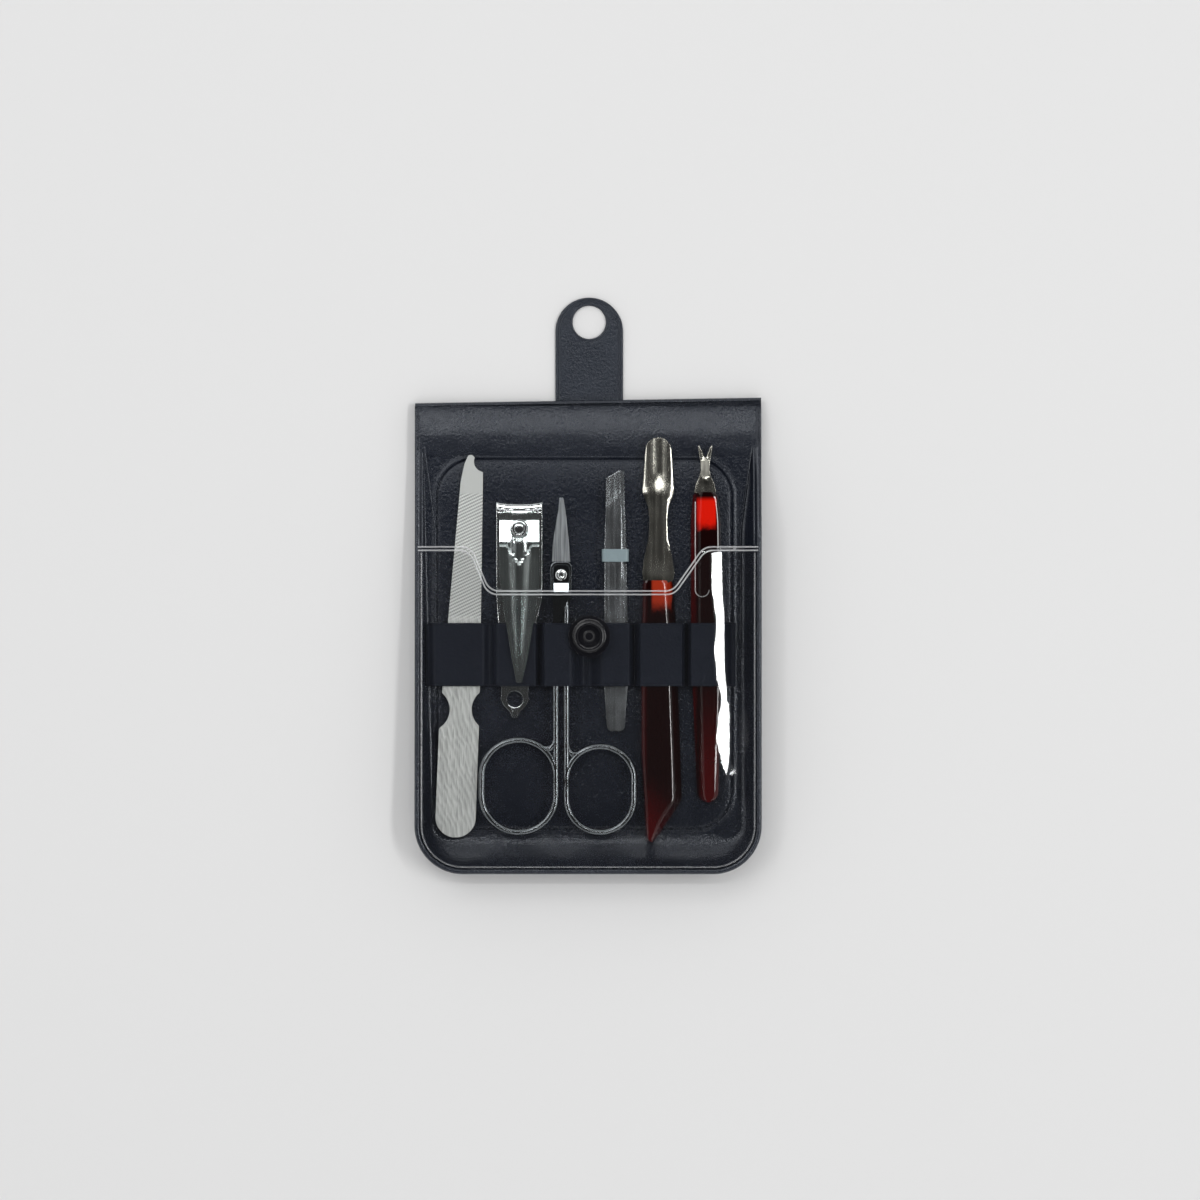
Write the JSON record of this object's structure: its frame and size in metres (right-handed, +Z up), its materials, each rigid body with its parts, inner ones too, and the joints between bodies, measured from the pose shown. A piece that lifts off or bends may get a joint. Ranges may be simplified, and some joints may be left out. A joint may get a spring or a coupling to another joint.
{
  "type": "manicure set case",
  "caption": "Vinyl case with a clear front pocket, a buttoned flap and a loop strap that holds small nail-care tools which slide out.",
  "frame": {"origin": "centre of the bounding box at the surface that the case lies on", "axes": "+X across the case to the right, +Y along it from the foot to the tab, +Z up out of the clear front"},
  "size_m": [0.093, 0.1546, 0.0115],
  "materials": {
    "black_vinyl": "soft black vinyl with a fine leather grain",
    "black_lining": "padded black vinyl lining",
    "strap_vinyl": "matte black vinyl band",
    "card": "grey-brown board",
    "foam": "thin foam",
    "clear_vinyl": "clear flexible sheet",
    "button_black": "glossy black",
    "file_steel": "etched and brushed steel",
    "chrome": "polished chrome",
    "steel": "polished steel",
    "collar_grey": "blue-grey plastic",
    "warm_steel": "polished steel with a warm cast",
    "red_resin": "dark red translucent plastic"
  },
  "bodies": {
    "case": {"back_cover": "black_vinyl", "stiffener_card": "card", "foam_sheet": "foam", "liner_sheet": "black_lining", "padded_panel": "black_lining", "edge_rim": "black_vinyl", "clear_pocket": "clear_vinyl", "loop_strap": "strap_vinyl", "button_cap": "button_black", "button_washer": "button_black"},
    "flap_top": {"flap_top": "black_vinyl"},
    "flap_middle": {"flap_middle": "black_vinyl"},
    "flap_end": {"flap_end": "black_vinyl", "closing_tab": "black_vinyl"},
    "file": {"nail_file": "file_steel"},
    "clipper": {"clipper_lower_arm": "chrome", "clipper_pin": "chrome", "clipper_rivet": "chrome"},
    "clipper_top": {"clipper_upper_arm": "chrome"},
    "lever": {"clipper_lever": "chrome"},
    "scissors": {"scissor_right_half": "steel", "scissor_screw": "steel"},
    "scissor_left": {"scissor_left_half": "steel"},
    "tweezers": {"tweezer_lower_arm": "steel", "tweezer_collar": "collar_grey"},
    "tweezer_top": {"tweezer_upper_arm": "steel"},
    "pusher": {"pusher_blade": "warm_steel", "pusher_handle": "red_resin"},
    "trimmer": {"trimmer_fork": "warm_steel", "trimmer_handle": "red_resin"}
  },
  "joints": [
    {"name": "flap_fold", "type": "hinge", "parent": "case", "child": "flap_top", "pos_m": [0, 0.04038, 0.0022], "axis": [-1, 0, 0], "range_deg": [-90, 0]},
    {"name": "middle_fold", "type": "hinge", "parent": "flap_top", "child": "flap_middle", "pos_m": [0, 0.04888, 0.00172], "axis": [-1, 0, 0], "range_deg": [-270, 0]},
    {"name": "end_fold", "type": "hinge", "parent": "flap_middle", "child": "flap_end", "pos_m": [0, 0.03254, 0.00077], "axis": [-1, 0, 0], "range_deg": [0, 180]},
    {"name": "file_slide", "type": "slide", "parent": "case", "child": "file", "axis": [0, 1, 0], "range_m": [0, 0.08]},
    {"name": "clipper_slide", "type": "slide", "parent": "case", "child": "clipper", "axis": [0, 1, 0], "range_m": [0, 0.05]},
    {"name": "clipper_press", "type": "hinge", "parent": "clipper", "child": "clipper_top", "pos_m": [-0.0184, -0.02732, 0.0045], "axis": [1, 0, 0], "range_deg": [-1.1, 0], "stiffness_Nm_per_rad": 2},
    {"name": "lever_swing", "type": "hinge", "parent": "clipper", "child": "lever", "pos_m": [-0.0184, 0.01517, 0.00765], "axis": [0, 0, 1], "range_deg": [-30, 0]},
    {"name": "scissor_slide", "type": "slide", "parent": "case", "child": "scissors", "axis": [0, 1, 0], "range_m": [0, 0.01]},
    {"name": "scissor_open", "type": "hinge", "parent": "scissors", "child": "scissor_left", "pos_m": [-0.0072, 0.00278, 0.0068], "axis": [0, 0, -1], "range_deg": [0, 3]},
    {"name": "tweezer_slide", "type": "slide", "parent": "case", "child": "tweezers", "axis": [0, 1, 0], "range_m": [0, 0.055]},
    {"name": "tweezer_squeeze", "type": "hinge", "parent": "tweezers", "child": "tweezer_top", "pos_m": [0.0073, -0.03112, 0.0048], "axis": [1, 0, 0], "range_deg": [-1.3, 0], "stiffness_Nm_per_rad": 1},
    {"name": "pusher_slide", "type": "slide", "parent": "case", "child": "pusher", "axis": [0, 1, 0], "range_m": [0, 0.075]},
    {"name": "trimmer_slide", "type": "slide", "parent": "case", "child": "trimmer", "axis": [0, 1, 0], "range_m": [0, 0.075]}
  ],
  "couplings": [
    {"joint": "middle_fold", "follows": "flap_fold", "ratio": 3},
    {"joint": "end_fold", "follows": "flap_fold", "ratio": -2}
  ]
}
